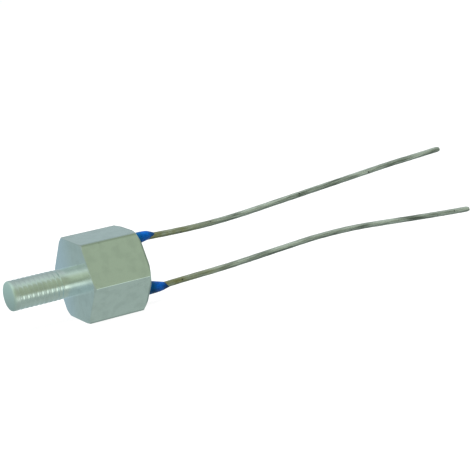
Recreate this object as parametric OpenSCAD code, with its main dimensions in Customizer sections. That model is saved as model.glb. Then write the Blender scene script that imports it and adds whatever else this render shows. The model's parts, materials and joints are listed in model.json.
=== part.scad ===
// Stud-mount thermistor: a disc sensor potted in a turned hexagonal case with two bare leads.
// Origin: centre of the seating face, where the stud joins the hexagon.
// +X runs along the case axis from the stud to the leads, +Z is up, and a flat faces down.

/* [Hexagonal case] */
// Spanner size, across the flats
across_flats = 8; // [8:0.5:10]
// Length of the hexagonal body
body_l = 6.4; // [6.2:0.1:9]
// How far the front chamfer cuts in from the corners, measured on the radius
front_break = 0.3; // [0.1:0.05:0.5]
// How far the rear chamfer cuts in from the corners, measured on the radius
rear_break = 0.52; // [0.1:0.02:0.6]
// Slope of both chamfers against the end faces, in degrees
chamfer_slope = 30; // [20:5:45]

/* [Stud] */
// Outside diameter of the thread
stud_d = 3; // [2.5:0.5:5]
// Length of the stud from the seating face to its tip
stud_l = 7; // [5:0.5:12]
// Chamfer at the tip of the stud
stud_chamfer = 0.3; // [0.2:0.1:0.8]

/* [Cup] */
// Metal left between the seating face and the floor of the cup
cup_floor = 1.2; // [0.8:0.1:1.4]
// Chamfer at the mouth of the cup
mouth_break = 0.15; // [0.05:0.05:0.15]
// Resin between the cup wall and the fattest lacquer
potting_gap = 0.15; // [0.1:0.05:0.3]
// Depth of the resin's edge below the rear face
potting_rim_drop = 0.2; // [0.15:0.05:0.25]
// How much lower the middle of the resin lies than its edge
potting_sag = 0.2; // [0.1:0.05:0.25]

/* [Sensor disc] */
// Diameter of the sintered disc
disc_d = 3.6; // [3.4:0.1:3.8]
// Thickness of the sintered disc
disc_t = 1.2; // [1:0.1:1.4]
// Bare rim left round each silver electrode
electrode_margin = 0.2; // [0.1:0.05:0.3]
// Thickness of each silver electrode
electrode_t = 0.05; // [0.03:0.01:0.1]

/* [Leads] */
// Wire diameter
lead_d = 0.6; // [0.5:0.05:0.7]
// Spacing of the two leads, up and down, where they leave the crank
lead_spacing = 5; // [4.8:0.1:5.4]
// Solder between the wire and the electrode
solder_film = 0.05; // [0.03:0.01:0.1]
// Solder over the top of the wire
solder_cover = 0.15; // [0.1:0.05:0.2]
// Slope of the crank that spreads the leads, in degrees
crank_slope = 40; // [38:1:50]
// Bend radius of the crank on the wire's centre line
crank_r = 0.8; // [0.6:0.1:1]
// Length of the upper lead behind the rear face, along the wire
upper_l = 40.7; // [38:0.1:45]
// Straight stretch of the upper lead behind the rear face
upper_exit = 5.5; // [4.5:0.5:8]
// Slope of the upper lead where it leaves the case, towards the axis
upper_toe_in = 1.8; // [0:0.1:3]
// Length of the lower lead behind the rear face, along the wire
lower_l = 42.9; // [42:0.1:47]
// Straight stretch of the lower lead behind the rear face
lower_exit = 9.5; // [4.5:0.5:10]
// Slope of the lower lead where it leaves the case, towards the axis
lower_toe_in = 2.1; // [0:0.1:3]

/* [Lacquer] */
// Lacquer over the solder
coat_wall = 0.15; // [0.1:0.05:0.2]
// Lacquer round the rim of the disc
coat_rim = 0.35; // [0.3:0.05:0.4]
// Lacquer on the wires beside the disc
sleeve_wall = 0.2; // [0.1:0.05:0.2]
// Diameter of the lacquer drop on each lead
drop_d = 1.3; // [1.1:0.1:1.4]
// Length of the full drop behind the rear face
drop_l = 1.6; // [1:0.1:2.5]
// Length of the drop's taper
taper_l = 1.7; // [1:0.1:2.5]
// Lacquer left on the wire at the end of the taper
tip_wall = 0.05; // [0.03:0.01:0.1]
// Resin between the floor of the cup and the lacquer
floor_gap = 0.1; // [0.05:0.05:0.2]

/* [Hidden] */
$fn = 96;
// Extra length of cutting shapes past the faces that they cut
over = 1;

// Bends of the leads behind the rear face: straight stretch before the bend, angle away
// from the axis, bend radius. Chosen by eye, as the hand-bent wires lie.
UPPER_BENDS = [[upper_exit, 6.8, 80], [17.5, -1.3, 80]];
LOWER_BENDS = [[lower_exit, -1.8, 70], [7.7, 8.3, 70], [8, -0.8, 70]];

// A bend of the wire is a hair fatter than the straights, which run into it by the lap
bend_swell = 0.002;
bend_lap = 0.02;

corner_r = across_flats / 2 / cos(30);

// The sensor disc stands in the cup on the XZ plane, and a lead lies along each of its faces
electrode_d = disc_d - 2 * electrode_margin;
electrode_y = disc_t / 2 + electrode_t;
lead_y = electrode_y + solder_film + lead_d / 2;
solder_r = solder_film + lead_d + solder_cover;

coat_half = electrode_y + solder_r + coat_wall;
coat_r = disc_d / 2 + coat_rim;
disc_x = cup_floor + floor_gap + coat_r;

// The wire starts this far in front of the middle of its electrode and above it, and the
// solder dome that covers its end is centred this far along it
wire_end_front = 0.45;
wire_end_up = 0.3;
dome_along = 0.35;
wire_start = [disc_x - wire_end_front, wire_end_up];
dome = wire_start + dome_along * [cos(crank_slope), sin(crank_slope)];

// Corner where the crank's centre line meets the exit's, above the axis
crank_rise = lead_spacing / 2 - wire_start[1];
crank_corner_x = wire_start[0] + crank_rise / tan(crank_slope);

sleeve_d = lead_d + 2 * sleeve_wall;
// Depth below the rear face at which the drop has its full diameter
drop_bury = 0.25;

cup_d = 2 * (norm([lead_spacing / 2, lead_y]) + drop_d / 2 + potting_gap);

// Turns a shape made along Z so that it runs along +X
module along_x() {
    rotate([0, 90, 0]) children();
}

// Turns a shape made along Z so that it runs along +Y
module along_y() {
    rotate([-90, 0, 0]) children();
}

// The lower lead's side is the upper lead's side turned half a turn about the case axis
module lower_side() {
    rotate([180, 0, 0]) children();
}

module hexagon_blank() {
    outside = corner_r + over;
    intersection() {
        translate([-over, 0, 0]) along_x() rotate(30)
            cylinder(r = corner_r, h = body_l + 2 * over, $fn = 6);
        along_x() rotate_extrude() polygon([
            [0, 0],
            [corner_r - front_break, 0],
            [outside, (front_break + over) * tan(chamfer_slope)],
            [outside, body_l - (rear_break + over) * tan(chamfer_slope)],
            [corner_r - rear_break, body_l],
            [0, body_l]
        ]);
    }
}

module stud_blank() {
    along_x() rotate_extrude() polygon([
        [0, -stud_l],
        [stud_d / 2 - stud_chamfer, -stud_l],
        [stud_d / 2, stud_chamfer - stud_l],
        [stud_d / 2, cup_floor / 2],
        [0, cup_floor / 2]
    ]);
}

// Space of the blind cup, with the chamfer at its mouth
module cup_space() {
    mouth_r = cup_d / 2 + mouth_break;
    along_x() rotate_extrude() polygon([
        [0, cup_floor],
        [cup_d / 2, cup_floor],
        [cup_d / 2, body_l - mouth_break],
        [mouth_r, body_l],
        [mouth_r, body_l + over],
        [0, body_l + over]
    ]);
}

module hex_case() {
    color("#93a8a1") difference() {
        union() {
            hexagon_blank();
            stud_blank();
        }
        cup_space();
    }
}

module ntc_disc() {
    color("#3b3a38") translate([disc_x, -disc_t / 2, 0]) along_y()
        cylinder(d = disc_d, h = disc_t);
}

// Electrode on the face of the disc that looks along +Y, the upper lead's side
module electrode() {
    color("#c9cac6") translate([disc_x, disc_t / 2, 0]) along_y()
        cylinder(d = electrode_d, h = electrode_t);
}

module electrode_a() {
    electrode();
}

module electrode_b() {
    lower_side() electrode();
}

// Dome of solder on the electrode, over the end of the upper side's wire
module solder_dome() {
    translate([dome[0], electrode_y, dome[1]]) intersection() {
        sphere(r = solder_r);
        translate([-solder_r, 0, -solder_r]) cube(2 * solder_r);
    }
}

// The wire lies in the solder, so its own space is cut out of the dome
module solder(toe_in) {
    color("#b4b6b0") difference() {
        solder_dome();
        coated_wire(toe_in);
    }
}

module solder_a() {
    solder(upper_toe_in);
}

module solder_b() {
    lower_side() solder(lower_toe_in);
}

// Bent stretch of round wire that starts at the origin along +X and turns towards +Z,
// or towards -Z when the angle is negative
module bend(d, angle, r) {
    rotate([angle < 0 ? 180 : 0, 0, 0]) translate([0, 0, r]) rotate([90, 90, 0])
        rotate_extrude(angle = abs(angle)) translate([r, 0]) circle(d = d + bend_swell);
}

// Straight stretch of round wire along +X, run a little way into the bends at its ends
module straight(d, l, into_first, into_last = bend_lap) {
    translate([-into_first, 0, 0]) along_x() cylinder(d = d, h = l + into_first + into_last);
}

// Places its children at the end of such a bend, along the new direction
module after_bend(angle, r) {
    translate([r * sin(abs(angle)), 0, sign(angle) * r * (1 - cos(angle))])
        rotate([0, -angle, 0]) children();
}

// Length of wire in a bend and in the straight stretch before it
function bend_length(bend) = bend[0] + abs(bend[1]) * PI / 180 * bend[2];

// Wire of length l from bend number i on: each bend with the straight stretch before it,
// and what is left of the length straight
module bent_wire(d, l, bends, i = 0) {
    into_first = i > 0 ? bend_lap : 0;
    if (i < len(bends)) {
        straight(d, bends[i][0], into_first);
        translate([bends[i][0], 0, 0]) {
            bend(d, bends[i][1], bends[i][2]);
            after_bend(bends[i][1], bends[i][2])
                bent_wire(d, l - bend_length(bends[i]), bends, i + 1);
        }
    } else {
        straight(d, l, into_first, 0);
    }
}

// Length that the crank's bend takes from the straights on both sides of its corner
function crank_tangent(toe_in) = crank_r * tan((crank_slope + toe_in) / 2);

// Distance along the exit from the crank's corner to the plane of the rear face
function rear_face_run(toe_in) = (body_l - crank_corner_x) / cos(toe_in);

// Round wire on the upper side: along the electrode, round the crank, out through the
// rear face, and then the bends. The length l is measured from the rear face.
module wire(d, toe_in, l, bends) {
    tangent = crank_tangent(toe_in);
    crank = [crank_rise / sin(crank_slope) - tangent, -crank_slope - toe_in, crank_r];
    in_resin = rear_face_run(toe_in) - tangent;
    behind_crank = [for (i = [0 : 1 : len(bends) - 1])
        [bends[i][0] + (i == 0 ? in_resin : 0), bends[i][1], bends[i][2]]];
    translate([wire_start[0], lead_y, wire_start[1]]) rotate([0, -crank_slope, 0])
        bent_wire(d, bend_length(crank) + in_resin + l, concat([crank], behind_crank));
}

// The stretch of a lead that lies in the solder and the lacquer, and a little more
module coated_wire(toe_in) {
    wire(lead_d, toe_in, drop_l + taper_l + over, []);
}

module lead_a() {
    color("#7d8474") wire(lead_d, upper_toe_in, upper_l, UPPER_BENDS);
}

module lead_b() {
    color("#7d8474") lower_side() wire(lead_d, lower_toe_in, lower_l, LOWER_BENDS);
}

// Lacquer over the disc: a ball flattened over both faces of the disc
module disc_coat() {
    translate([disc_x, 0, 0]) along_y() rotate_extrude() intersection() {
        circle(r = coat_r);
        translate([0, -coat_half]) square([coat_r + over, 2 * coat_half]);
    }
}

// Drop of lacquer that ran down a lead and set behind the rear face. It swells out of
// the sleeve inside the resin.
module drop(toe_in) {
    translate([crank_corner_x, lead_y, lead_spacing / 2]) rotate([0, toe_in, 0])
        translate([rear_face_run(toe_in), 0, 0]) along_x() rotate_extrude() polygon([
            [0, -drop_bury - drop_d / 2],
            [drop_d / 2, -drop_bury],
            [drop_d / 2, drop_l],
            [lead_d / 2 + tip_wall, drop_l + taper_l],
            [0, drop_l + taper_l]
        ]);
}

// Lacquer on one wire, from the disc to the end of its drop
module lead_coat(toe_in) {
    wire(sleeve_d, toe_in, 0, []);
    drop(toe_in);
}

// Outside form of the whole lacquer coat
module coat_form() {
    disc_coat();
    lead_coat(upper_toe_in);
    lower_side() lead_coat(lower_toe_in);
}

module lacquer_coat() {
    color("#145799") difference() {
        coat_form();
        ntc_disc();
        electrode_a();
        electrode_b();
        solder_dome();
        lower_side() solder_dome();
        coated_wire(upper_toe_in);
        lower_side() coated_wire(lower_toe_in);
    }
}

// Resin that fills the cup round the coated sensor. Its surface is slightly hollow,
// because it climbs the wall while it sets.
module potting() {
    surface_x = body_l - potting_rim_drop - potting_sag;
    hollow_r = (pow(cup_d / 2, 2) + pow(potting_sag, 2)) / (2 * potting_sag);
    color("#4a4c48") difference() {
        cup_space();
        translate([surface_x + hollow_r, 0, 0]) sphere(r = hollow_r);
        coat_form();
    }
}

hex_case();
ntc_disc();
electrode_a();
electrode_b();
solder_a();
solder_b();
lead_a();
lead_b();
lacquer_coat();
potting();
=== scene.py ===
"""Looks of a stud-mount thermistor: a machined hexagonal case with a fine thread, the resin
cast into it, two tinned leads and the blue dip lacquer round their roots, on a white table.

Lengths are millimetres and angles are degrees, in the part's own frame: the origin is the centre
of the seating face, +X runs along the case axis to the leads, and +Z is up. METRES turns a
length to metres where Blender takes it.
"""

from __future__ import annotations

import json
import logging
import math
from dataclasses import dataclass
from enum import Enum
from functools import partial
from typing import Any, Callable, Optional, Sequence

import bpy
import numpy as np
from mathutils import Matrix, Vector

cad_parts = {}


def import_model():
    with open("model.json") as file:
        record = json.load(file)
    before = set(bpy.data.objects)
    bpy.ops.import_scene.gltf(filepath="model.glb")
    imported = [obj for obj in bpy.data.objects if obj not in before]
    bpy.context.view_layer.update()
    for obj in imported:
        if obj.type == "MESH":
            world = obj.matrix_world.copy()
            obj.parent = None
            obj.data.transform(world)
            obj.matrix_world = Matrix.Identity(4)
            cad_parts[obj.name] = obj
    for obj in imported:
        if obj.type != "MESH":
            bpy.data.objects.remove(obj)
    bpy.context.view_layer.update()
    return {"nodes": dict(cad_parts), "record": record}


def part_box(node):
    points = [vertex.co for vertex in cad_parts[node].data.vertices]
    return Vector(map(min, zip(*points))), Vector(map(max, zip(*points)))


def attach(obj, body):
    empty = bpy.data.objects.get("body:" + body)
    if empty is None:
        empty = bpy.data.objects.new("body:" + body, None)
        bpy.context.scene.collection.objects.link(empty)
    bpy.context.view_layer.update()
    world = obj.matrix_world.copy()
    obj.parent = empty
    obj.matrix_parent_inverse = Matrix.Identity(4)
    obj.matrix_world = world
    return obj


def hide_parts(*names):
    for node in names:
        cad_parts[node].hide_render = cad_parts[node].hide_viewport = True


LOG = logging.getLogger("thermistor")
# Metres in a millimetre.
METRES = 0.001
BODY = "root"
# Attribute of a lead's points: their place as it would be on a straight wire.
STRAIGHTENED = "straightened"
# The turn from one flat of the hexagon to the next, and half of it.
SIXTH_TURN = math.radians(60)
HALF_SIXTH = math.radians(30)

Colour = tuple[float, float, float, float]
Point = tuple[float, float, float]
# Where a change starts and where it is complete.
Span = tuple[float, float]
Node = bpy.types.Node
Socket = bpy.types.NodeSocket
# Adds a node to one tree, as add_node does.
Adder = Callable[..., Node]

# Settings that several nodes share.
SMOOTH = {"interpolation_type": "SMOOTHSTEP"}
RGBA = {"data_type": "RGBA"}


class Cut(Enum):
    """How a stretch of the case's surface was made, and the material slot that shows it."""

    TURNED = 0
    DRAWN = 1


class Side(Enum):
    """Which lead: the lower one is the upper one's side turned half a turn about the case axis."""

    UPPER = 1
    LOWER = -1


def linear(hex_colour: str) -> Colour:
    """Turns an sRGB colour into the linear one that a socket takes.

    Args:
        hex_colour: Colour as #rrggbb.

    Returns:
        Red, green, blue and an alpha of 1.
    """
    parts = [int(hex_colour[i : i + 2], 16) / 255 for i in (1, 3, 5)]
    red, green, blue = (p / 12.92 if p <= 0.04045 else ((p + 0.055) / 1.055) ** 2.4 for p in parts)
    return red, green, blue, 1.0


def add_node(
    tree: bpy.types.NodeTree,
    kind: str,
    inputs: Optional[dict[Any, Any]] = None,
    stops: Sequence[tuple[float, Colour]] = (),
    **settings: Any,
) -> Node:
    """Adds one node to a tree.

    Args:
        tree: Tree that gets the node.
        kind: Node type after "ShaderNode".
        inputs: For each input, by its name or number, its value, the output that is linked to
            it, or the node whose first output in use is linked to it.
        stops: Places from 0 to 1 and colours, for a colour ramp.
        settings: Properties of the node.

    Returns:
        The new node.
    """
    node = tree.nodes.new("ShaderNode" + kind)
    for name, value in settings.items():
        setattr(node, name, value)
    for place, colour in stops[2:]:
        node.color_ramp.elements.new(place)
    for element, (place, colour) in zip(node.color_ramp.elements if stops else (), stops):
        element.position = place
        element.color = colour
    for name, value in (inputs or {}).items():
        if isinstance(value, Node):
            value = next(output for output in value.outputs if output.enabled)
        if isinstance(value, Socket):
            tree.links.new(value, node.inputs[name])
        else:
            node.inputs[name].default_value = value
    return node


def empty_material(name: str) -> tuple[bpy.types.Material, Adder]:
    """Makes a material with no nodes.

    Args:
        name: Name of the material.

    Returns:
        The material, and what adds a node to it.
    """
    material = bpy.data.materials.new(name)
    material.use_nodes = True
    material.node_tree.nodes.clear()
    return material, partial(add_node, material.node_tree)


def smooth_step(values: np.ndarray, start: float, end: float) -> np.ndarray:
    """Rises from 0 at start to 1 at end as 3 t squared minus 2 t cubed.

    Args:
        values: Where the rise is wanted.
        start: Value at which it starts.
        end: Value at which it ends, which may be the smaller one.

    Returns:
        The rise, of the same shape as values.
    """
    t = np.clip((values - start) / (end - start), 0, 1)
    return t * t * (3 - 2 * t)


def place_mesh(
    name: str,
    rings: np.ndarray,
    first_pole: np.ndarray,
    last_pole: np.ndarray,
    slots: Optional[np.ndarray] = None,
) -> bpy.types.Object:
    """Makes a closed skin from rings of points, each joined to the next, with a point at each end.

    Face corners run along the ring, on to the next ring and back, which points the face outwards
    when the points of a ring turn from y to z as seen along +x and the rings go along +x.

    Args:
        name: Name of the piece.
        rings: Points in millimetres, as ring, point of the ring, coordinate.
        first_pole: Point that closes the first ring.
        last_pole: Point that closes the last ring.
        slots: Material slot of each stretch between two rings.

    Returns:
        The piece's object, smooth shaded, at the origin.
    """
    count, around = rings.shape[:2]
    here = np.arange(around)
    after = np.roll(here, -1)
    base = np.arange(count - 1)[:, None] * around
    quads = np.stack(
        [base + here, base + after, base + around + after, base + around + here], axis=-1
    ).reshape(-1, 4)
    last_ring = (count - 1) * around
    pole = np.full(around, count * around)
    first_fan = np.stack([pole, after, here], axis=-1)
    last_fan = np.stack([pole + 1, last_ring + here, last_ring + after], axis=-1)
    points = np.concatenate([rings.reshape(-1, 3), first_pole[None], last_pole[None]]) * METRES
    mesh = bpy.data.meshes.new(name)
    mesh.from_pydata(points, [], quads.tolist() + first_fan.tolist() + last_fan.tolist())
    mesh.polygons.foreach_set("use_smooth", np.ones(len(mesh.polygons), dtype=bool))
    if slots is not None:
        ends = np.repeat(slots[[0, -1]], around)
        of_faces = np.concatenate([np.repeat(slots, around), ends])
        mesh.polygons.foreach_set("material_index", of_faces.astype(np.int32))
    mesh.update()
    piece = bpy.data.objects.new(name, mesh)
    bpy.context.scene.collection.objects.link(piece)
    return piece


def in_millimetres(box: Sequence[Sequence[float]]) -> tuple[np.ndarray, np.ndarray]:
    """Lowest and highest corner of a box that is given in metres."""
    low, high = (np.array(corner) / METRES for corner in box)
    return low, high


def join_skin(piece: bpy.types.Object, other: bpy.types.Object) -> None:
    """Joins another closed skin to a piece and keeps the result as the piece's mesh.

    Args:
        piece: Piece that changes.
        other: Skin that is used and then removed.
    """
    modifier = piece.modifiers.new("union", "BOOLEAN")
    modifier.operation = "UNION"
    modifier.solver = "EXACT"
    modifier.object = other
    evaluated = piece.evaluated_get(bpy.context.evaluated_depsgraph_get())
    result = bpy.data.meshes.new_from_object(evaluated)
    piece.modifiers.clear()
    old = piece.data
    piece.data = result
    result.name = piece.name
    bpy.data.meshes.remove(old)
    bpy.data.objects.remove(other)


def rounded_line(corners: np.ndarray, runs: np.ndarray, half_run: np.ndarray) -> np.ndarray:
    """Points along a bent line, with its corners rounded.

    Each point is the mean of the line over half_run before it and half_run after it. On a
    straight stretch that is the point itself, and at a corner it is a smooth curve. The mean
    comes from each stretch's direction times how the run inside that stretch adds up.

    Args:
        corners: Corners of the lines, as line, corner, coordinate.
        runs: Lengths along each line at which points are wanted, as line, station.
        half_run: Half of the length over which the mean is taken, for each station.

    Returns:
        The points, as line, station, coordinate.
    """
    steps = np.diff(corners, axis=1)
    lengths = np.linalg.norm(steps, axis=-1)
    directions = steps / lengths[..., None]
    starts = np.cumsum(lengths, axis=1) - lengths
    lowest = np.zeros_like(lengths)
    lowest[:, 0] = -np.inf
    highest = lengths.copy()
    highest[:, -1] = np.inf

    def summed(at: np.ndarray) -> np.ndarray:
        """Sum of the run inside each stretch, from the line's start to each station.

        Args:
            at: Length along each line of each station.

        Returns:
            The sums, as line, station, stretch.
        """
        beyond = at[..., None] - starts[:, None]
        inside = np.clip(beyond, lowest[:, None], highest[:, None])
        past = np.maximum(beyond - highest[:, None], 0)
        return inside**2 / 2 + lengths[:, None] * past

    mean = (summed(runs + half_run) - summed(runs - half_run)) / (2 * half_run[None, :, None])
    return corners[:, :1] + np.einsum("lsk,lkc->lsc", mean, directions)


def end_material(add: Adder, height: Node, depth: float, inputs: dict[str, Any]) -> None:
    """Ends a material with its shader, which a pattern's bump turns.

    Args:
        add: Adds a node to the material.
        height: Node whose output is the pattern, from 0 to 1.
        depth: Height of the pattern in millimetres.
        inputs: The shader's other inputs.
    """
    bump = add("Bump", {"Height": height, "Distance": depth * METRES, "Strength": 1.0})
    shader = add("BsdfPrincipled", {**inputs, "Normal": bump})
    add("OutputMaterial", {0: shader})


@dataclass(frozen=True)
class MachinedAluminium:
    """Fine-machined aluminium under a thin grey-green conversion coat.

    The lathe leaves rings that follow the feed, and the drawn bar's flats keep long fine lines.
    Both blur reflections across the marks. The feed of a fine cut, about 0.05 mm a turn, is
    too fine to show, so the rings are drawn 0.12 mm apart. The turned faces carry a painted
    reflection, lighter and bluer towards +Y, and painted shade darkens the upper and lower ridges
    and the rear rim. The stud's tip is matt, and its end has painted light and shade: paler
    towards its top, darker towards its bottom.
    """

    cut: Cut
    colour: str = "#afb9b1"
    dull_colour: str = "#a9b3ab"
    speck_colour: str = "#77857d"
    # Painted reflection: the lighter, bluer tint that the turned faces take towards +Y.
    painted_reflection_colour: str = "#b6c3c8"
    # Painted shade: the darker colours of the upper and lower ridges and of the rear rim.
    ridge_shade_colour: str = "#96a098"
    rear_shade_colour: str = "#838d88"
    # Painted light and shade on the tip's end: darker at its bottom, paler at its top.
    tip_light_and_shade_colours: tuple[str, str] = ("#9baaa2", "#c9dbcf")
    tip_r: float = 1.5
    matt_tip: Span = (-6.2, -6.6)
    # Painted light and shade of the tip's end: where it takes over along x.
    painted_light_tip: Span = (-6.7, -6.95)
    # Painted reflection: where the lighter, bluer tint rises along y.
    painted_reflection_side: Span = (-1.0, 3.6)
    # Painted shade: where it covers the ridges, by radius and by height, and the rear rim along x.
    ridge_edge: Span = (4.47, 4.57)
    shaded_ridges: Span = (2.5, 3.5)
    rear_edge: Span = (6.12, 6.32)
    roughness: Span = (0.17, 0.23)
    tip_roughness: float = 0.2
    mark_spacing: float = 0.12
    mark_height: float = 0.0012
    line_squeeze: float = 0.03
    cloud_size: float = 1.0
    dull_clouds: Span = (0.42, 0.66)
    rough_clouds: Span = (0.3, 0.7)
    speck_spacing: float = 1.9
    speck_radius: float = 0.075
    speck_core: float = 0.3
    bare_share: float = 0.45

    def material(self) -> bpy.types.Material:
        """Builds the metal: marks, cloudy patches, a few specks, and painted light and shade.

        Returns:
            The material.
        """
        material, add = empty_material(f"machined_aluminium_{self.cut.name.lower()}")
        place = add("TexCoord").outputs["Object"]
        axes = add("SeparateXYZ", {0: place}).outputs
        squares = [add("Math", {0: axis, 1: 2.0}, operation="POWER") for axis in axes[1:]]
        both = add("Math", {0: squares[0], 1: squares[1]})
        radius = add("Math", {0: both}, operation="SQRT")
        if self.cut is Cut.TURNED:
            across = add("Math", {0: axes[0], 1: radius})
            marks_at = add("CombineXYZ", {0: across})
        else:
            squeeze = (self.line_squeeze, 1.0, 1.0)
            marks_at = add("Mapping", {0: place, "Scale": squeeze})
        patterns = ((marks_at, self.mark_spacing, 2.0), (place, self.cloud_size, 4.0))
        marks, clouds = (
            add("TexNoise", {"Vector": at, "Scale": 1 / (size * METRES), "Detail": detail})
            for at, size, detail in patterns
        )
        off_middle = add("Math", {0: axes[2]}, operation="ABSOLUTE")
        # Painted shade: ridge and upright pick the upper and lower ridges, rear picks the rear rim;
        # all are darkened.
        changes = (
            (clouds, self.dull_clouds, 1.0),
            (radius, self.ridge_edge, METRES),
            (off_middle, self.shaded_ridges, METRES),
            (axes[0], self.rear_edge, METRES),
        )
        dull, ridge, upright, rear = (
            add("MapRange", {0: value, 1: start * unit, 2: end * unit}, **SMOOTH)
            for value, (start, end), unit in changes
        )
        ridge = add("Math", {0: ridge, 1: upright}, operation="MULTIPLY")
        shades = [(dull, linear(self.dull_colour))]
        if self.cut is Cut.TURNED:
            shades += self.turned_shades(add, axes)
        shades += [(ridge, linear(self.ridge_shade_colour)), (rear, linear(self.rear_shade_colour))]
        shades += [(self.specks(add, place), linear(self.speck_colour))]
        colour = linear(self.colour)
        for share, shade in shades:
            colour = add("Mix", {0: share, 6: colour, 7: shade}, **RGBA)
        smooth, rough = self.roughness
        start, end = self.rough_clouds
        rough = add("MapRange", {0: clouds, 1: start, 2: end, 3: smooth, 4: rough})
        if self.cut is Cut.TURNED:
            start, end = (at * METRES for at in self.matt_tip)
            matt = add("MapRange", {0: axes[0], 1: start, 2: end, 4: self.tip_roughness})
            rough = add("Math", {0: rough, 1: matt})
        metal = {"Base Color": colour, "Metallic": 1.0, "Roughness": rough}
        end_material(add, marks, self.mark_height, metal)
        return material

    def turned_shades(self, add: Adder, axes: Sequence[Socket]) -> list[tuple[Node, Any]]:
        """Adds the painted reflection to +Y and the painted light and shade on the tip's end.

        Args:
            add: Adds a node to the material.
            axes: Outputs with the place on the case, as x, y and z.

        Returns:
            For each shade, the node with its share and its colour or the node that has it.
        """
        # Painted reflection: the turned faces grow lighter and bluer towards +Y.
        start, end = (at * METRES for at in self.painted_reflection_side)
        painted_reflection_share = add("MapRange", {0: axes[1], 1: start, 2: end}, **SMOOTH)
        # Painted light and shade: the tip's end goes from a darker colour at its bottom to a paler
        # one at its top.
        start, end = (at * METRES for at in self.painted_light_tip)
        tip_light_share = add("MapRange", {0: axes[0], 1: start, 2: end})
        height = add("MapRange", {0: axes[2], 1: -self.tip_r * METRES, 2: self.tip_r * METRES})
        low, high = (linear(colour) for colour in self.tip_light_and_shade_colours)
        tip = add("Mix", {0: height, 6: low, 7: high}, **RGBA)
        return [(painted_reflection_share, linear(self.painted_reflection_colour)), (tip_light_share, tip)]

    def specks(self, add: Adder, place: Socket) -> Node:
        """Adds small dark specks, one in the middle of each cell that is not left bare.

        Args:
            add: Adds a node to the material.
            place: Output with the place on the piece.

        Returns:
            The node with the specks' share of the colour.
        """
        cells = add(
            "TexVoronoi", {"Vector": place, "Scale": 1 / (self.speck_spacing * METRES)}
        ).outputs
        reach = self.speck_radius / self.speck_spacing
        near = add(
            "MapRange",
            {0: cells["Distance"], 1: reach, 2: self.speck_core * reach},
            **SMOOTH,
        )
        chosen = add("Math", {0: cells["Color"], 1: self.bare_share}, operation="GREATER_THAN")
        return add("Math", {0: near, 1: chosen}, operation="MULTIPLY")


@dataclass(frozen=True)
class TinnedCopper:
    """Copper wire dipped in tin: dull grey, with darker streaks where the tin has oxidised.

    The tin sets in soft lumps a millimetre or so long, which break up the long highlight. Near
    the case the flux from soldering has left it brownish, and there are small black pits. A thin
    bloom of oxide scatters light at the wire's edges. The dull tone also deepens towards the
    wire's underside, which is painted shade.
    """

    colour: str = "#959d92"
    dull_colour: str = "#3d463b"
    flux_colour: str = "#62633f"
    pit_colour: str = "#2b302a"
    bloom_colour: str = "#d2d8d0"
    bloom: float = 0.9
    bloom_roughness: float = 0.35
    metallic: float = 0.75
    roughness: float = 0.42
    streak_length: float = 2.2
    streak_width: float = 0.16
    streak_strength: float = 1.3
    patch_length: float = 4.0
    # Painted shade: how much duller and darker the wire's underside is made.
    painted_underside_shade: float = 0.13
    wire_r: float = 0.3
    dull_tones: Span = (0.84, 1.4)
    pit_spacing: float = 1.0
    pit_radius: float = 0.14
    pit_core: float = 0.4
    flux_reach: Span = (8.0, 19.0)
    flux_strength: float = 2.0
    lump_size: float = 0.8
    lump_height: float = 0.008

    def material(self) -> bpy.types.Material:
        """Builds the tin, with streaks along the wire, flux, pits and soft lumps.

        The patterns read the lead's straightened place: length along it, and the offsets to
        the side and up from its middle.

        Returns:
            The material.
        """
        material, add = empty_material("tinned_copper_wire")
        place = add("Attribute", attribute_name=STRAIGHTENED).outputs["Vector"]
        stretch = (self.streak_width / self.streak_length, 1.0, 1.0)
        along = add("Mapping", {0: place, "Scale": stretch})
        patterns = (
            (along, self.streak_width, 3.0),
            (place, self.patch_length, 1.0),
            (place, self.lump_size, 1.0),
        )
        streaks, patches, lumps = (
            add("TexNoise", {"Vector": at, "Scale": 1 / (size * METRES), "Detail": detail})
            for at, size, detail in patterns
        )
        up = add("SeparateXYZ", {0: place}).outputs[2]
        tone = patches
        # Painted shade: besides the random streaks, the dull tone rises towards the wire's
        # underside.
        streaks_and_underside_shade = (streaks, self.streak_strength), (up, -self.painted_underside_shade / (self.wire_r * METRES))
        for value, strength in streaks_and_underside_shade:
            tone = add("Math", {0: value, 1: strength, 2: tone}, operation="MULTIPLY_ADD")
        start, end = self.dull_tones
        dull = add("MapRange", {0: tone, 1: start, 2: end})
        whole = add("TexCoord").outputs["Object"]
        x = add("SeparateXYZ", {0: whole}).outputs[0]
        start, end = (at * METRES for at in self.flux_reach)
        near = add("MapRange", {0: x, 1: start, 2: end, 3: self.flux_strength, 4: 0.0})
        flux = add("Math", {0: near, 1: lumps}, operation="MULTIPLY")
        cells = add(
            "TexVoronoi", {"Vector": place, "Scale": 1 / (self.pit_spacing * METRES)}
        ).outputs
        reach = self.pit_radius / self.pit_spacing
        pits = add("MapRange", {0: cells["Distance"], 1: reach, 2: self.pit_core * reach}, **SMOOTH)
        colour = linear(self.colour)
        shades = (dull, self.dull_colour), (flux, self.flux_colour), (pits, self.pit_colour)
        for share, shade in shades:
            colour = add("Mix", {0: share, 6: colour, 7: linear(shade)}, **RGBA)
        metal = {
            "Base Color": colour,
            "Metallic": self.metallic,
            "Roughness": self.roughness,
            "Sheen Weight": self.bloom,
            "Sheen Roughness": self.bloom_roughness,
            "Sheen Tint": linear(self.bloom_colour),
        }
        end_material(add, lumps, self.lump_height, metal)
        return material


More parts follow.
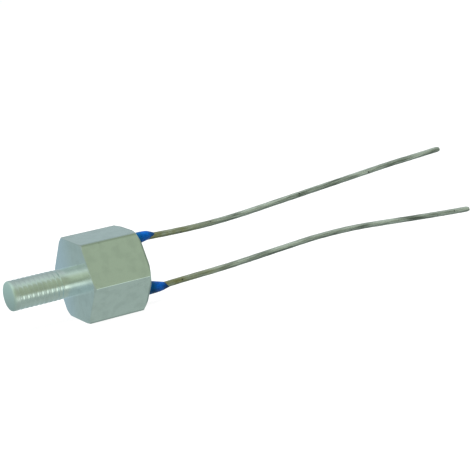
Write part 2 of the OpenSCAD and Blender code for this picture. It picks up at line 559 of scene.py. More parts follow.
@dataclass(frozen=True)
class DipLacquer:
    """Blue phenolic dip lacquer, cured glossy.

    It is deep blue where it is thick, and darker where it thins over the wire. Next to the rear
    face it is darker and duller, which is painted shade from the case's rim. Faint clouds show
    where it pooled, and the lower drop is a shade darker. The colours stand at places in
    millimetres along the case axis.
    """

    colours: tuple[tuple[float, str], ...] = (
        # Painted shade: the darker, duller blue next to the case's rear face.
        (7.9, "#043f68"),
        (8.3, "#064a90"),
        (8.95, "#064a90"),
        (9.4, "#0c3462"),
        (9.9, "#1a3a4c"),
    )
    pooled_shade: str = "#c8c8c8"
    lower_shade: str = "#eae6ec"
    gloss_tint: str = "#5c9fe4"
    gloss: float = 0.22
    roughness: float = 0.33
    ior: float = 1.42
    cloud_size: float = 0.5
    pooled_clouds: Span = (0.35, 0.65)
    between_drops: Span = (1.0, -1.0)
    ripple_height: float = 0.004

    def material(self) -> bpy.types.Material:
        """Builds the lacquer, with its blues along the drops and a soft ripple.

        Returns:
            The material.
        """
        material, add = empty_material("blue_dip_lacquer")
        place = add("TexCoord").outputs["Object"]
        clouds = add(
            "TexNoise",
            {"Vector": place, "Scale": 1 / (self.cloud_size * METRES), "Detail": 2.0},
        )
        x, _y, z = add("SeparateXYZ", {0: place}).outputs
        start, end = self.colours[0][0], self.colours[-1][0]
        along = add("MapRange", {0: x, 1: start * METRES, 2: end * METRES})
        stops = [((at - start) / (end - start), linear(colour)) for at, colour in self.colours]
        colour = add("ValToRGB", {0: along}, stops=stops)
        shades = (
            (clouds, self.pooled_clouds, 1.0, self.pooled_shade),
            (z, self.between_drops, METRES, self.lower_shade),
        )
        for value, (start, end), unit, shade in shades:
            share = add("MapRange", {0: value, 1: start * unit, 2: end * unit})
            colour = add(
                "Mix",
                {0: share, 6: colour, 7: linear(shade)},
                **RGBA,
                blend_type="MULTIPLY",
            )
        lacquer = {
            "Base Color": colour,
            "Roughness": self.roughness,
            "IOR": self.ior,
            "Specular IOR Level": self.gloss,
            "Specular Tint": linear(self.gloss_tint),
        }
        end_material(add, clouds, self.ripple_height, lacquer)
        return material


@dataclass(frozen=True)
class Grained:
    """A matt or satin finish with one fine grain, for pieces that are seldom or never seen."""

    name: str
    colour: str
    dark_colour: str
    grain: float
    roughness: float
    metallic: float = 0.0
    tones: Span = (0.35, 0.65)
    relief: float = 0.05

    def material(self) -> bpy.types.Material:
        """Builds the finish, with two tones and a bump at the grain's size.

        Returns:
            The material.
        """
        material, add = empty_material(self.name)
        place = add("TexCoord").outputs["Object"]
        grain = add(
            "TexNoise",
            {"Vector": place, "Scale": 1 / (self.grain * METRES), "Detail": 3.0},
        )
        start, end = self.tones
        tone = add("MapRange", {0: grain, 1: start, 2: end})
        dark, light = linear(self.dark_colour), linear(self.colour)
        colour = add("Mix", {0: tone, 6: dark, 7: light}, **RGBA)
        surface = {"Base Color": colour, "Metallic": self.metallic, "Roughness": self.roughness}
        end_material(add, grain, self.relief * self.grain, surface)
        return material


@dataclass
class HexCase:
    """One-piece case, turned from drawn hexagon bar: stud with its thread, hexagon, blind cup.

    Its skin is one profile carried round the axis. The profile's corners depend on the angle,
    because the bar's flats cut the turned chamfers. The stud has a slightly crowned tip, and a
    plain neck between the thread's run-out and the seating face.
    """

    across_flats: float
    body_l: float
    stud_l: float
    stud_r: float
    cup_r: float
    cup_floor: float
    front_break: float = 0.3
    rear_break: float = 0.52
    chamfer_slope: float = 30.0
    deburr: float = 0.05
    ridge_r: float = 0.13
    mouth_break: float = 0.15
    pitch: float = 0.5
    thread_depth: float = 0.042
    thread_width: float = 0.68
    thread_softness: float = 0.05
    root_softness: float = 0.015
    thread_start: float = 0.6
    neck_l: float = 1.6
    neck_r: float = 1.47
    neck_ramp: float = 0.6
    runout_in: float = 0.1
    runout_l: float = 0.4
    tip_plain_l: float = 0.15
    tip_runout_l: float = 0.5
    tip_run: float = 0.28
    tip_crown: float = 0.1
    edge_run: float = 0.045
    root_run: float = 0.012
    finest: float = 0.03
    flat_gap: float = 0.03
    flat_lines: int = 12
    ridge_lines: int = 5

    @classmethod
    def from_frame(cls, stud_r: float) -> HexCase:
        """Takes the case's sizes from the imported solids.

        Args:
            stud_r: Radius of the stud's mount.

        Returns:
            The case.
        """
        low, high = in_millimetres(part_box("hex_case"))
        resin_low, resin_high = in_millimetres(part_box("potting"))
        return cls(
            across_flats=high[2] - low[2],
            body_l=high[0],
            stud_l=-low[0],
            stud_r=stud_r,
            cup_r=(resin_high[1] - resin_low[1]) / 2,
            cup_floor=resin_low[0],
        )

    def angles(self) -> np.ndarray:
        """Angles round the axis, close together at the six ridges.

        Half a flat is sampled evenly along the flat. A ridge is sampled evenly in angle up to
        the end of its rounding, with one more line just past that end.

        Returns:
            Angles in radians, rising from the ridge that points along +Y.
        """
        apothem = self.across_flats / 2
        on_flat = apothem * math.tan(HALF_SIXTH) - self.ridge_tangent()
        evenly = np.linspace(on_flat - self.flat_gap, 0, self.flat_lines)
        flat = HALF_SIXTH - np.arctan(np.append(on_flat, evenly) / apothem)
        ridge = np.linspace(0, flat[0], self.ridge_lines)[:-1]
        half = np.concatenate([ridge, flat])
        sextant = np.concatenate([half, SIXTH_TURN - half[-2:0:-1]])
        turns = SIXTH_TURN * np.arange(6)
        return (turns[:, None] + sextant).ravel()

    def ridge_tangent(self) -> float:
        """Length that a ridge's rounding takes from each of its two flats."""
        return self.ridge_r * math.tan(HALF_SIXTH)

    def flat_radius(self, angles: np.ndarray) -> np.ndarray:
        """Distance from the axis to the hexagon at each angle, its ridges rounded.

        On a flat it is the apothem over the cosine of the angle from the flat's middle. On a
        ridge it is where the ray meets the rounding's circle.

        Args:
            angles: Angles round the axis in radians.

        Returns:
            The distances.
        """
        apothem = self.across_flats / 2
        from_ridge = np.abs((angles + HALF_SIXTH) % SIXTH_TURN - HALF_SIXTH)
        flat = apothem / np.cos(HALF_SIXTH - from_ridge)
        centre = (apothem - self.ridge_r) / math.cos(HALF_SIXTH)
        under = np.maximum(self.ridge_r**2 - (centre * np.sin(from_ridge)) ** 2, 0)
        round_part = centre * np.cos(from_ridge) + np.sqrt(under)
        return np.where(flat * np.cos(from_ridge) > centre + self.ridge_r / 2, round_part, flat)

    def profile(self, angles: np.ndarray) -> tuple[np.ndarray, np.ndarray, list[tuple[Cut, int]]]:
        """Corners of the profile at each angle, from the stud's tip to the cup's floor.

        Args:
            angles: Angles round the axis in radians.

        Returns:
            The corners as angle, corner, (x, radius); half the run of each corner's rounding;
            and for each stretch between two corners how it was cut and its even stations.
        """
        flat = self.flat_radius(angles)
        slope = math.tan(math.radians(self.chamfer_slope))
        corner_r = self.across_flats / 2 / math.cos(HALF_SIXTH)
        front_r = np.minimum(corner_r - self.front_break, flat - self.deburr)
        rear_r = np.minimum(corner_r - self.rear_break, flat - self.deburr)
        edge = self.edge_run
        corners = [
            (-self.stud_l, 0, self.tip_run),
            (-self.stud_l, self.stud_r, self.tip_run),
            (-self.neck_l - self.neck_ramp, self.stud_r, edge),
            (-self.neck_l, self.neck_r, edge),
            (0, self.neck_r, self.root_run),
            (0, front_r, edge),
            ((flat - front_r) * slope, flat, edge),
            (self.body_l - (flat - rear_r) * slope, flat, edge),
            (self.body_l, rear_r, edge),
            (self.body_l, self.cup_r + self.mouth_break, edge),
            (self.body_l - self.mouth_break, self.cup_r, edge),
            (self.cup_floor, self.cup_r, edge),
            (self.cup_floor, 0, edge),
        ]
        # Even stations of the stretches before, on and behind the bar's own flats.
        before_flats, flats, behind_flats = (4, 208, 16, 6, 14, 2), 10, (2, 2, 1, 4, 6)
        stretches = [(Cut.TURNED, count) for count in before_flats]
        stretches += [(Cut.DRAWN, flats)]
        stretches += [(Cut.TURNED, count) for count in behind_flats]
        level = np.ones_like(angles)
        places = [np.stack([x * level, r * level], axis=-1) for x, r, _half_run in corners]
        half_runs = np.array([half_run for _x, _r, half_run in corners])
        return np.stack(places, axis=1), half_runs, stretches

    def stations(
        self, corners: np.ndarray, half_runs: np.ndarray, stretches: list[tuple[Cut, int]]
    ) -> tuple[np.ndarray, np.ndarray, np.ndarray]:
        """Where the profile is sampled: close together at each corner, and evenly between.

        Args:
            corners: The profile's corners, as angle, corner, (x, radius).
            half_runs: Half the run of each corner's rounding.
            stretches: Cut and even stations of each stretch.

        Returns:
            Runs along the profile as angle, station; half the rounding's run at each station;
            and the material slot from each station to the next.
        """
        # In half runs: where a corner's own stations end, where the even ones begin, and the
        # shortest stretch that has room for both of its corners.
        past_corner, clear_of_corner, shortest = 1.2, 1.5, 3.2
        lengths = np.linalg.norm(np.diff(corners, axis=1), axis=-1)
        runs, halves, slots = [], [], []
        start = np.zeros(len(corners))
        for (cut, count), length, first, last in zip(
            stretches, lengths.T, half_runs[:-1], half_runs[1:]
        ):
            at_first = np.linspace(0, past_corner, max(4, round(first / self.finest)))
            at_last = np.linspace(past_corner, 0, max(4, round(last / self.finest)))[:-1]
            near, far = (np.minimum(run, length / shortest) for run in (first, last))
            begin, end = near * clear_of_corner, length - far * clear_of_corner
            between = np.linspace(begin, end, count, axis=1)
            before_last = length[:, None] - far[:, None] * at_last
            here = np.concatenate([near[:, None] * at_first, between, before_last], axis=1)
            runs.append(start[:, None] + here)
            halves += [np.full(len(at_first), first), np.linspace(first, last, count)]
            halves += [np.full(len(at_last), last)]
            slots.append(np.full(here.shape[1], cut.value))
            start = start + length
        return np.concatenate(runs, axis=1), np.concatenate(halves), np.concatenate(slots)

    def groove(self, x: np.ndarray, angles: np.ndarray) -> np.ndarray:
        """Depth of the thread at each point, from 0 on the crest to the full depth at the root.

        The phase is x over the pitch less the angle over a full turn, which makes a right-hand
        thread that advances along -X when it is turned clockwise as seen from the leads. The
        groove is a shallow V with flat crests between, its bends softened by the square root
        of a square plus the softness squared. It fades out at the neck and at the tip.

        Args:
            x: Place along the axis, as angle, station.
            angles: Angles round the axis in radians.

        Returns:
            The depth at each point.
        """
        phase = (x / self.pitch - angles[:, None] / (2 * math.pi) + self.thread_start) % 1.0
        from_root = np.hypot(phase - 0.5, self.root_softness)
        inside = self.thread_width / 2 - from_root
        v = (inside + np.hypot(inside, self.thread_softness)) / self.thread_width
        neck = self.runout_in - self.neck_l
        runout = smooth_step(x, neck, neck - self.runout_l)
        tip = -self.stud_l + self.tip_plain_l
        start = smooth_step(x, tip, tip + self.tip_runout_l)
        return self.thread_depth * v * runout * start

    def build(self) -> bpy.types.Object:
        """Makes the case's skin.

        The tip's crown falls with the square of the distance from the axis.

        Returns:
            The case, which stands for the solid one.
        """
        angles = self.angles()
        corners, half_runs, stretches = self.profile(angles)
        runs, halves, slots = self.stations(corners, half_runs, stretches)
        line = rounded_line(corners, runs, halves)
        x, radius = line[..., 0], line[..., 1]
        crown = self.tip_crown * np.maximum(1 - (radius / self.stud_r) ** 2, 0)
        x = x - np.where(x < -self.stud_l + self.tip_run, crown, 0)
        on_stud = x < -self.neck_l + self.runout_in
        radius = np.where(on_stud, radius - self.groove(x, angles), radius)
        points = np.stack(
            [x, radius * np.cos(angles)[:, None], radius * np.sin(angles)[:, None]], axis=-1
        )
        rings = np.swapaxes(points, 0, 1)[1:]
        tip = np.array([-self.stud_l - self.tip_crown, 0, 0])
        floor = np.array([self.cup_floor, 0, 0])
        case = place_mesh("turned_case", rings, tip, floor, slots[1:-1])
        for cut_kind in Cut:
            case.data.materials.append(MachinedAluminium(cut_kind).material())
        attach(case, BODY)
        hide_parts("hex_case")
        return case


@dataclass(frozen=True)
class Bend:
    """One bend of a lead: the straight stretch before it, its angle and its radius.

    The angle is away from the case axis, so a negative one turns the lead towards it.
    """

    before: float
    angle: float
    radius: float


@dataclass
class Lead:
    """Tinned wire: up its electrode, round a crank, out through the resin, and its bends."""

    side: Side
    node: str
    piece: str
    toe_in: float
    length: float
    bends: tuple[Bend, ...]
    disc_x: float
    offset_y: float
    rear_x: float
    pattern_start: float
    wire_r: float = 0.3
    spacing: float = 5.0
    start_front: float = 0.45
    start_up: float = 0.3
    crank_slope: float = 40.0
    crank_r: float = 0.8
    ring_spacing: float = 0.15
    around: int = 28
    tin: float = 0.008
    tin_at_case: float = 0.02
    tin_reach: float = 14.0
    lump: float = 0.01
    lump_waves: Point = (1.9, 0.73, 4.3)
    fine_lumps: float = 0.6
    lump_phase: float = 1.7
    nip_l: float = 0.35
    nip_flat: float = 0.82
    nip_span: Span = (0.1, 0.8)
    nip_rings: int = 8
    end_round: float = 0.07
    end_shrink: float = 0.35
    end_turn: float = 78.0
    end_rings: int = 7

    def route(self) -> tuple[np.ndarray, np.ndarray]:
        """Lengths and turns of the wire's straight stretches and bends, one after another.

        Returns:
            The length of each stretch and the angle in radians that it turns by.
        """
        slope, toe = math.radians(self.crank_slope), math.radians(self.toe_in)
        rise = self.spacing / 2 - self.start_up
        tangent = self.crank_r * math.tan((slope + toe) / 2)
        lengths = [rise / math.sin(slope) - tangent, (slope + toe) * self.crank_r]
        turns = [0.0, -slope - toe]
        left = self.length
        lead_in = self.behind_corner() - tangent
        for bend in self.bends:
            turn = math.radians(bend.angle)
            lengths += [lead_in + bend.before, abs(turn) * bend.radius]
            turns += [0.0, turn]
            left -= bend.before + abs(turn) * bend.radius
            lead_in = 0.0
        return np.array(lengths + [lead_in + left]), np.array(turns + [0.0])

    def behind_corner(self) -> float:
        """Length along the exit from the crank's corner to the plane of the rear face.

        Returns:
            The length.
        """
        rise = self.spacing / 2 - self.start_up
        crank = rise / math.tan(math.radians(self.crank_slope))
        corner_x = self.disc_x - self.start_front + crank
        return (self.rear_x - corner_x) / math.cos(math.radians(self.toe_in))

    def rear_run(self) -> float:
        """Length of wire from its start to the plane of the rear face."""
        lengths, _turns = self.route()
        return float(lengths.sum()) - self.length

    def centre_line(self, runs: np.ndarray) -> tuple[np.ndarray, np.ndarray]:
        """Points and headings of the wire's centre line, on the upper side.

        Within a stretch the point has moved by the chord of the arc so far: the run times the
        sine of half the turn over half the turn, along the mean of the two headings.

        Args:
            runs: Lengths from the wire's start.

        Returns:
            Points as (x, z), and headings in radians from +X towards +Z.
        """
        lengths, turns = self.route()
        curvatures = turns / lengths
        headings = math.radians(self.crank_slope) + np.cumsum(turns) - turns
        starts = np.cumsum(lengths) - lengths

        def moved(run: np.ndarray, curvature: np.ndarray, heading: np.ndarray) -> np.ndarray:
            """Chord of an arc.

            Args:
                run: Length along the arc.
                curvature: Turn of the arc for each millimetre, in radians.
                heading: Heading at its start, in radians.

            Returns:
                The chord as (x, z).
            """
            half = run * curvature / 2
            chord = run * np.sinc(half / math.pi)
            along = heading + half
            return chord[:, None] * np.stack([np.cos(along), np.sin(along)], axis=-1)

        steps = moved(lengths, curvatures, headings)
        begin = np.array([self.disc_x - self.start_front, self.start_up])
        corners = begin + np.cumsum(steps, axis=0) - steps
        which = np.clip(np.searchsorted(starts, runs, side="right") - 1, 0, len(starts) - 1)
        inside = runs - starts[which]
        points = corners[which] + moved(inside, curvatures[which], headings[which])
        return points, headings[which] + inside * curvatures[which]

    def tube(self, runs: np.ndarray, upward: np.ndarray, sideways: np.ndarray) -> np.ndarray:
        """Rings of points round the wire's centre line.

        Args:
            runs: Length from the wire's start of each ring.
            upward: Offset of each point from the centre line, away from the case axis in the
                lead's plane, as ring, point.
            sideways: Offset of each point across that plane, towards the other lead's side.

        Returns:
            Rings as ring, point, (x, y, z).
        """
        points, headings = self.centre_line(runs)
        x = points[:, :1] - np.sin(headings)[:, None] * upward
        z = points[:, 1:] + np.cos(headings)[:, None] * upward
        y = self.offset_y - sideways
        return np.stack([x, self.side.value * y, self.side.value * z], axis=-1)

    def middle(self, runs: np.ndarray) -> np.ndarray:
        """Points on the wire's centre line, as (x, y, z), at the given runs."""
        on_line = np.zeros((len(runs), 1))
        return self.tube(runs, on_line, on_line)[:, 0]

    def tinned_radius(self, runs: np.ndarray, angles: np.ndarray) -> np.ndarray:
        """Radius of the wire with its tin.

        The skin of tin thins exponentially from the rear face outwards. Its lumps are two waves
        along the wire, one times the other, plus a finer wave, and lump_waves has the radians
        that each turns by in a millimetre. The first and the finer wave are shifted with the
        angle, so that the lumps differ from side to side.

        Args:
            runs: Length from the wire's start of each ring.
            angles: Angle of each point round the wire in radians.

        Returns:
            The radius, as ring, point.
        """
        along = runs[:, None]
        phase = self.lump_phase * self.side.value
        wave, beat, fine = (each * along for each in self.lump_waves)
        lumps = np.sin(wave + phase + np.cos(angles)) * np.sin(beat - phase)
        lumps = lumps + self.fine_lumps * np.sin(fine + 2 * np.sin(angles) + phase)
        behind = np.maximum(along - self.rear_run(), 0)
        thicker = self.tin_at_case * np.exp(-behind / self.tin_reach)
        return self.wire_r + self.tin + thicker + self.lump * lumps / (1 + self.fine_lumps)

    def build(self) -> bpy.types.Object:
        """Makes the wire's skin: round, a little lumpy from the tin, and nipped at its end.

        At the end the radius shrinks as a quarter circle falls, times end_shrink: by 1 less the
        square root of 1 less the square of the share of the rounding that is passed. The nip
        narrows it in the lead's plane, and a fan closes it at end_turn of the quarter circle.

        Returns:
            The lead, which stands for the solid one.
        """
        lengths, _turns = self.route()
        whole = float(lengths.sum())
        before_nip = whole - self.nip_l
        evenly = np.linspace(0, before_nip, round(before_nip / self.ring_spacing))
        in_nip = before_nip + self.nip_l * np.linspace(*self.nip_span, self.nip_rings)
        turned = np.radians(np.linspace(0, self.end_turn, self.end_rings))
        at_end = whole - self.end_round * (1 - np.sin(turned))
        runs = np.concatenate([evenly, in_nip, at_end])
        angles = np.linspace(0, 2 * math.pi, self.around, endpoint=False)
        radius = self.tinned_radius(runs, angles)
        past = np.clip((runs - whole + self.end_round) / self.end_round, 0, 1)
        shrink = 1 - self.end_shrink * (1 - np.sqrt(1 - past**2))
        flat = 1 - (1 - self.nip_flat) * smooth_step(runs, before_nip, whole)
        upward = radius * np.cos(angles) * (shrink * flat)[:, None]
        sideways = radius * np.sin(angles) * shrink[:, None]
        rings = self.tube(runs, upward, sideways)
        poles = self.middle(np.array([0, whole]))
        lead = place_mesh(self.piece, rings, poles[0], poles[1])
        turn = self.side.value
        run = np.broadcast_to(runs[:, None] + self.pattern_start, upward.shape)
        straight = np.stack([run, turn * sideways, turn * upward], axis=-1).reshape(-1, 3)
        ends = np.array([[self.pattern_start, 0, 0], [self.pattern_start + whole, 0, 0]])
        attribute = lead.data.attributes.new(STRAIGHTENED, "FLOAT_VECTOR", "POINT")
        attribute.data.foreach_set("vector", np.concatenate([straight, ends]).ravel() * METRES)
        lead.data.materials.append(TinnedCopper().material())
        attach(lead, BODY)
        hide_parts(self.node)
        return lead


@dataclass(frozen=True)
class Flank:
    """One side of a drop: how thick the lacquer is there, and where it thins down to the wire."""

    full: float
    shoulder: float
    end: float
    swell_end: float = -0.25


@dataclass(frozen=True)
class Drop:
    """Lacquer that ran down a lead and set behind the rear face, a little to one side.

    The far flank is the side away from the case axis, and the near flank faces it. Their places
    are lengths behind the rear face.
    """

    lead: Lead
    far: Flank
    near: Flank
    sleeve_r: float = 0.5
    swell_start: float = -0.9
    softness: float = 0.22
    buried_r: float = 0.2
    past_end: float = 0.5
    first_run: float = 0.1
    around: int = 48
    ring_spacing: float = 0.05

    def flank(self, side: Flank, behind: np.ndarray) -> np.ndarray:
        """Distance from the wire's middle to the lacquer's surface on one side.

        It swells from the sleeve to the full drop, then falls off in a straight taper that
        reaches the wire's surface at the flank's end and goes on to a radius inside the wire.
        The shoulder is half the sum of the run past it and that run's length with the softness.

        Args:
            side: Flank whose wall is wanted.
            behind: Lengths behind the rear face.

        Returns:
            The distance at each length.
        """
        swell = smooth_step(behind, self.swell_start, side.swell_end)
        wall = self.sleeve_r + (side.full - self.sleeve_r) * swell
        slope = (side.full - self.lead.wire_r) / (side.end - side.shoulder)
        past = behind - side.shoulder
        taper = slope * (past + np.hypot(past, self.softness)) / 2
        return np.maximum(wall - taper, self.buried_r)

    def skin(self) -> bpy.types.Object:
        """Makes the lacquer's skin round one lead, from the disc to inside the wire.

        A ring is the circle through the far and the near flank, square to the wire.

        Returns:
            The skin, closed at both ends.
        """
        lead = self.lead
        rear = lead.rear_run()
        end = max(self.far.end, self.near.end) + self.past_end
        runs = np.arange(self.first_run, rear + end, self.ring_spacing)
        far, near = self.flank(self.far, runs - rear), self.flank(self.near, runs - rear)
        radius, shift = (far + near) / 2, (far - near) / 2
        angles = np.linspace(0, 2 * math.pi, self.around, endpoint=False)
        upward = shift[:, None] + radius[:, None] * np.cos(angles)
        sideways = radius[:, None] * np.sin(angles)
        rings = lead.tube(runs, upward, sideways)
        poles = lead.middle(runs[[0, -1]])
        return place_mesh(f"drop_{lead.side.name.lower()}", rings, poles[0], poles[1])


@dataclass
class LacquerCoat:
    """Blue lacquer from one dip: over the disc, down both wires, and the drop on each."""

    drops: tuple[Drop, Drop]
    disc_x: float
    disc_r: float
    half_thickness: float
    rim: float = 0.35
    first_tilt: float = 2.0
    ring_count: int = 60
    around: int = 72

    def disc_skin(self) -> bpy.types.Object:
        """Makes the lacquer over the disc: a ball cut flat by both faces.

        At each angle from the disc's axis, the radius is the ball's times the sine, and the
        distance along the axis is the ball's times the cosine, held to the half thickness.

        Returns:
            The skin, closed at both poles.
        """
        ball = self.disc_r + self.rim
        tilt = np.linspace(self.first_tilt, 180 - self.first_tilt, self.ring_count)[:, None]
        tilt = np.radians(tilt)
        angles = np.linspace(0, 2 * math.pi, self.around, endpoint=False)
        y = -np.clip(ball * np.cos(tilt), -self.half_thickness, self.half_thickness)
        radius = ball * np.sin(tilt)
        rings = np.stack(
            [
                self.disc_x + radius * np.sin(angles),
                np.broadcast_to(y, (len(tilt), len(angles))),
                radius * np.cos(angles),
            ],
            axis=-1,
        )
        first = np.array([self.disc_x, -self.half_thickness, 0])
        last = np.array([self.disc_x, self.half_thickness, 0])
        return place_mesh("lacquer_coat_skin", rings, first, last)

    def build(self) -> bpy.types.Object:
        """Joins the three skins into one.

        Returns:
            The coat, which stands for the solid one.
        """
        coat = self.disc_skin()
        for drop in self.drops:
            join_skin(coat, drop.skin())
        coat.data.polygons.foreach_set("use_smooth", np.ones(len(coat.data.polygons), dtype=bool))
        coat.data.materials.clear()
        coat.data.materials.append(DipLacquer().material())
        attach(coat, BODY)
        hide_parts("lacquer_coat")
        return coat


@dataclass
class CastFill:
    """Resin that fills the cup: hollow in the middle, and drawn up at the wall and the leads."""

    cup_r: float
    floor_x: float
    rim_x: float
    drops: tuple[Drop, Drop]
    sag: float = 0.2
    climb: float = 0.09
    climb_reach: float = 0.13
    swirl: float = 0.012
    swirl_waves: Point = (1.3, 1.1, -0.4)
    swirl_shift: float = 0.6
    around: int = 180

    def surface(self, radius: np.ndarray, angles: np.ndarray) -> np.ndarray:
        """Level of the resin's open surface.

        A bowl that deepens with the square of the distance from the wall's foot, plus a climb
        that dies away exponentially from the wall and from each drop, plus a faint swirl: a
        wave across the cup times a wave up it that runs a little aslant.

        Args:
            radius: Distance from the axis, as ring, point.
            angles: Angle round the axis of each point.

        Returns:
            Place along the axis, as ring, point.
        """
        y, z = radius * np.cos(angles), radius * np.sin(angles)
        level = self.rim_x - self.sag * (1 - (radius / self.cup_r) ** 2)
        level = level + self.climb * np.exp((radius - self.cup_r) / self.climb_reach)
        for drop in self.drops:
            _x, wire_y, wire_z = drop.lead.middle(np.array([drop.lead.rear_run()]))[0]
            away = np.hypot(y - wire_y, z - wire_z) - drop.near.full
            level = level + self.climb * np.exp(-np.maximum(away, 0) / self.climb_reach)
        across, upward, aslant = self.swirl_waves
        wave = np.sin(across * y + self.swirl_shift)
        return level + self.swirl * wave * np.cos(upward * z + aslant * y)

    def build(self) -> bpy.types.Object:
        """Makes the resin's skin: the cup's floor, its wall and the open surface.

        Returns:
            The resin, which stands for the solid one.
        """
        angles = np.linspace(0, 2 * math.pi, self.around, endpoint=False)
        all_round = np.ones_like(angles)
        floor_r = self.cup_r * np.linspace(0.15, 1, 6)[:, None] * all_round
        # Rings lie close together where the surface climbs to the wall.
        in_climb, inside = np.linspace(1, 0.9, 16), np.linspace(0.88, 0.02, 50)
        open_r = self.cup_r * np.concatenate([in_climb, inside])[:, None] * all_round
        open_x = self.surface(open_r, angles)
        up_wall = np.linspace(0.1, 0.9, 9)[:, None]
        wall_x = self.floor_x + (open_x[:1] - self.floor_x) * up_wall
        x = np.concatenate([np.full_like(floor_r, self.floor_x), wall_x, open_x])
        radius = np.concatenate([floor_r, np.full_like(wall_x, self.cup_r), open_r])
        rings = np.stack([x, radius * np.cos(angles), radius * np.sin(angles)], axis=-1)
        middle = self.surface(np.zeros((1, 1)), np.zeros(1))[0, 0]
        resin = place_mesh(
            "resin_fill", rings, np.array([self.floor_x, 0, 0]), np.array([middle, 0, 0])
        )
        finish = Grained("cast_resin", "#565852", "#474944", grain=0.5, roughness=0.3)
        resin.data.materials.append(finish.material())
        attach(resin, BODY)
        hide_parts("potting")
        return resin


@dataclass
class Sensor:
    """Sensor disc, its electrodes and the solder, which stay the solids that they are."""

    nodes: dict[str, bpy.types.Object]

    def dress(self) -> None:
        """Gives each inner solid the finish of what it is made of."""
        oxide = Grained("sintered_oxide", "#45443f", "#35342f", grain=0.15, roughness=0.75)
        silver = Grained(
            "fired_silver", "#cbcbc6", "#b4b4ae", grain=0.2, roughness=0.5, metallic=1.0
        )
        solder = Grained(
            "soft_solder", "#b9bab5", "#9fa09b", grain=0.4, roughness=0.3, metallic=1.0
        )
        finishes = {
            "ntc_disc": oxide,
            "electrode_a": silver,
            "electrode_b": silver,
            "solder_a": solder,
            "solder_b": solder,
        }
        for name, finish in finishes.items():
            for slot in self.nodes[name].material_slots:
                slot.material = finish.material()


@dataclass(frozen=True)
class Glow:
    """One stop of the room as bright metal mirrors it, wound round the part's X axis.

    The angle is 0 straight to the front, 90 overhead and -90 straight down.
    """

    angle: float
    colour: str
    level: float


ROOM = (
    Glow(-180, "#dcf3fa", 0.79),
    Glow(-140, "#e2f7fc", 0.8),
    Glow(-77, "#ecfcfb", 0.83),
    Glow(-60, "#eafbfa", 0.77),
    Glow(-46, "#e8fbfa", 0.8),
    Glow(-32, "#ecfbf8", 0.88),
    Glow(-24, "#f0fcf8", 1.15),
    Glow(-10, "#f0fcf8", 1.15),
    Glow(-1, "#ecf9e6", 0.78),
    Glow(10, "#ecf9e0", 0.72),
    Glow(46, "#ecfbe2", 0.84),
    Glow(62, "#effbee", 0.88),
    Glow(72, "#ecfcf8", 1.2),
    Glow(82, "#ecfcf8", 1.2),
    Glow(94, "#ecf8fc", 1.16),
    Glow(114, "#ecf8fc", 1.02),
    Glow(138, "#e9f6fb", 0.84),
    Glow(180, "#dcf3fa", 0.79),
)

# The room beyond the part's two ends: low down and high up.
ROOM_ENDS = (Glow(-45, "#e4f4f2", 0.68), Glow(30, "#ecf8f6", 0.98))

# A strip light to the right, which puts the row of bright dots along the thread.
STRIP_LIGHT = (
    Glow(-180, "#f0fcf8", 0.0),
    Glow(-35, "#f0fcf8", 0.0),
    Glow(-25, "#f0fcf8", 0.97),
    Glow(-10, "#f0fcf8", 0.97),
    Glow(1, "#f0fcf8", 0.0),
    Glow(180, "#f0fcf8", 0.0),
)

# The room for light that metal mirrors twice, such as between the root of the stud and the
# seating face. It is brighter, because the metal takes its share of the light twice.
TWICE_MIRRORED = (
    Glow(-180, "#e4f8ff", 1.36),
    Glow(-106, "#dfefff", 1.74),
    Glow(-61, "#deedff", 1.73),
    Glow(-44, "#e0eeff", 1.97),
    Glow(-33, "#e9f2ff", 2.3),
    Glow(-24, "#f0f5ff", 3.3),
    Glow(-11, "#f5f8ff", 3.05),
    Glow(-3, "#f9ffff", 2.16),
    Glow(4, "#f7fff3", 1.28),
    Glow(16, "#f7fff0", 1.38),
    Glow(32, "#fafff1", 1.8),
    Glow(46, "#f9fff2", 2.12),
    Glow(60, "#fcfffb", 2.3),
    Glow(74, "#f4f9ff", 2.7),
    Glow(86, "#f2f9ff", 2.3),
    Glow(98, "#eef6ff", 1.9),
    Glow(114, "#edf9ff", 1.68),
    Glow(138, "#f1feff", 1.57),
    Glow(180, "#e4f8ff", 1.36),
)


